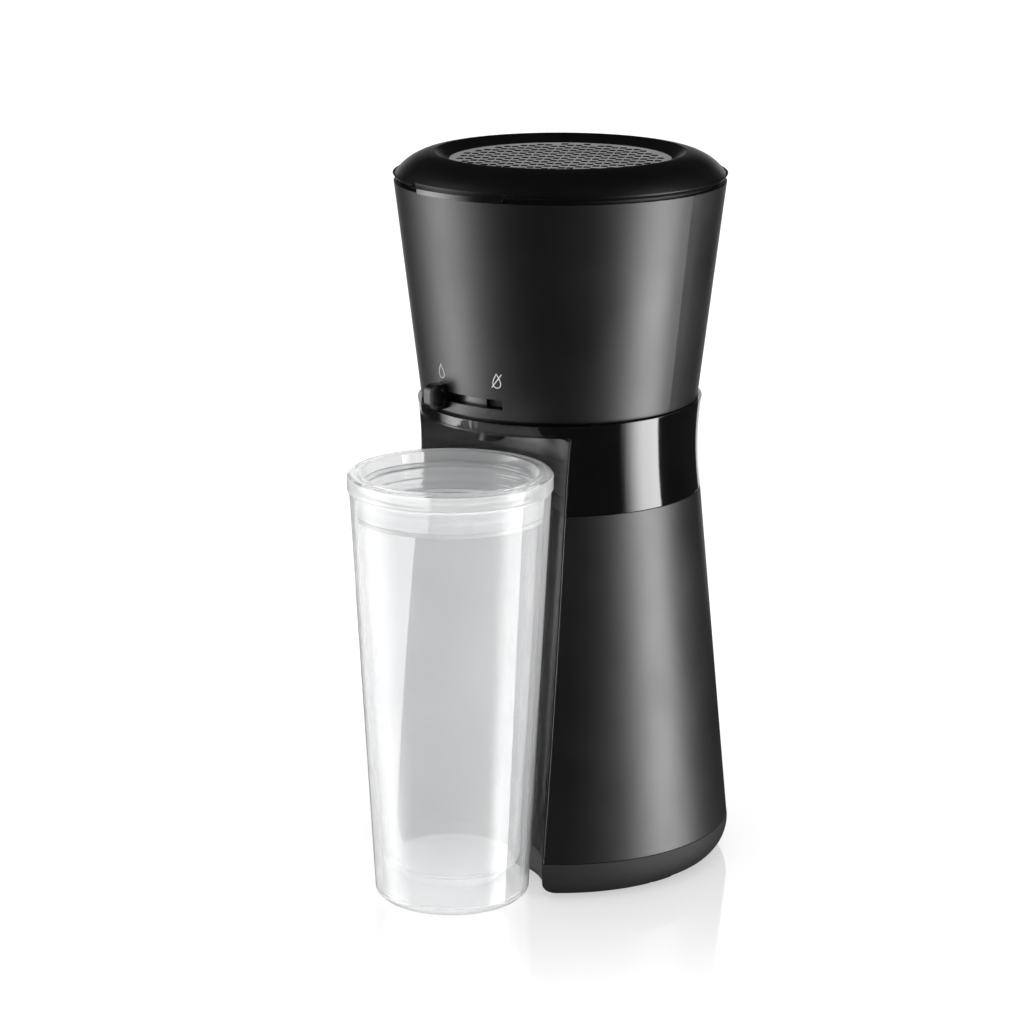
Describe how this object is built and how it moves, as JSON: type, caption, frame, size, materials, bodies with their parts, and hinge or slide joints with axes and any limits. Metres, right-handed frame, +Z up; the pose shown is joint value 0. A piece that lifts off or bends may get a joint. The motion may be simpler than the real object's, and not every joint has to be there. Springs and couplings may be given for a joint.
{
  "type": "iced coffee maker",
  "caption": "Single-serve iced coffee maker: waisted black body with a niche for a clear double-walled tumbler, brew cone with a drip-stop slider and a hinged lid.",
  "frame": {"origin": "centre of the outline seen from above, on the worktop", "axes": "+Z up, the niche and the tumbler face -Y, the power button is on the -X side"},
  "size_m": [0.1448, 0.1896, 0.298],
  "materials": {
    "base_plastic": "fine matte dark grey plastic",
    "foot_rubber": "matte rubber",
    "screw_steel": "plain steel",
    "body_plastic": "satin black plastic",
    "niche_plastic": "satin dark grey plastic",
    "gloss_black": "polished black plastic",
    "grille_plastic": "satin mid grey plastic",
    "inner_plastic": "plain black plastic",
    "basket_plastic": "satin dark plastic",
    "filter_mesh_steel": "fine woven steel mesh",
    "tank_plastic": "plain grey plastic",
    "silicone": "milky silicone",
    "heater_aluminium": "cast aluminium",
    "element_steel": "dull steel",
    "fuse_body": "ceramic coloured sleeve",
    "wire_sleeve": "white glass fibre sleeve",
    "light_lens": "red lens",
    "clear_plastic": "clear plastic"
  },
  "bodies": {
    "machine": {"base_housing": "base_plastic", "bottom_cover": "base_plastic", "rubber_feet": "foot_rubber", "cover_screws": "screw_steel", "body_screws": "screw_steel", "body_shell": "body_plastic", "niche_panel": "niche_plastic", "niche_hood": "gloss_black", "collar_band": "gloss_black", "upper_housing": "body_plastic", "hinge_pin": "screw_steel", "top_deck": "inner_plastic", "brew_basket": "basket_plastic", "filter_frame": "basket_plastic", "filter_mesh": "filter_mesh_steel", "lower_deck": "inner_plastic", "spout": "inner_plastic", "water_tank": "tank_plastic", "tank_seal": "silicone", "fill_chute": "tank_plastic", "heater_plate": "heater_aluminium", "heater_screws": "screw_steel", "heater_tube": "heater_aluminium", "heater_element": "element_steel", "thermostat": "element_steel", "thermal_fuse": "fuse_body", "inlet_hose": "silicone", "riser_hose": "silicone", "hose_clips": "element_steel", "check_valve": "silicone", "water_outlet": "inner_plastic", "button_bezel": "gloss_black", "switch_body": "inner_plastic", "indicator_light": "light_lens", "cord_gland": "inner_plastic", "wiring": "wire_sleeve"},
    "lid": {"lid_shell": "body_plastic", "lid_grille": "grille_plastic", "lid_liner": "inner_plastic", "lid_seal": "silicone", "lid_tab": "body_plastic", "lid_channel": "inner_plastic", "shower_head": "inner_plastic"},
    "slider": {"drip_slider": "gloss_black"},
    "button": {"power_button": "gloss_black", "switch_plunger": "inner_plastic"},
    "tumbler": {"tumbler_shell": "clear_plastic", "tumbler_liner": "clear_plastic", "tumbler_seal": "silicone"}
  },
  "joints": [
    {"name": "lid_hinge", "type": "hinge", "parent": "machine", "child": "lid", "pos_m": [0, 0.0916, 0.2844], "axis": [-1, 0, 0], "range_deg": [0, 95]},
    {"name": "drip_stop", "type": "hinge", "parent": "machine", "child": "slider", "pos_m": [0, 0.02, 0.2034], "axis": [0, 0, 1], "range_deg": [0, 28.6]},
    {"name": "power_press", "type": "slide", "parent": "machine", "child": "button", "axis": [1, 0, 0], "range_m": [0, 0.002], "stiffness_N_per_m": 900},
    {"name": "tumbler_slide", "type": "slide", "parent": "machine", "child": "tumbler", "axis": [0, -1, 0], "range_m": [0, 0.12]}
  ]
}
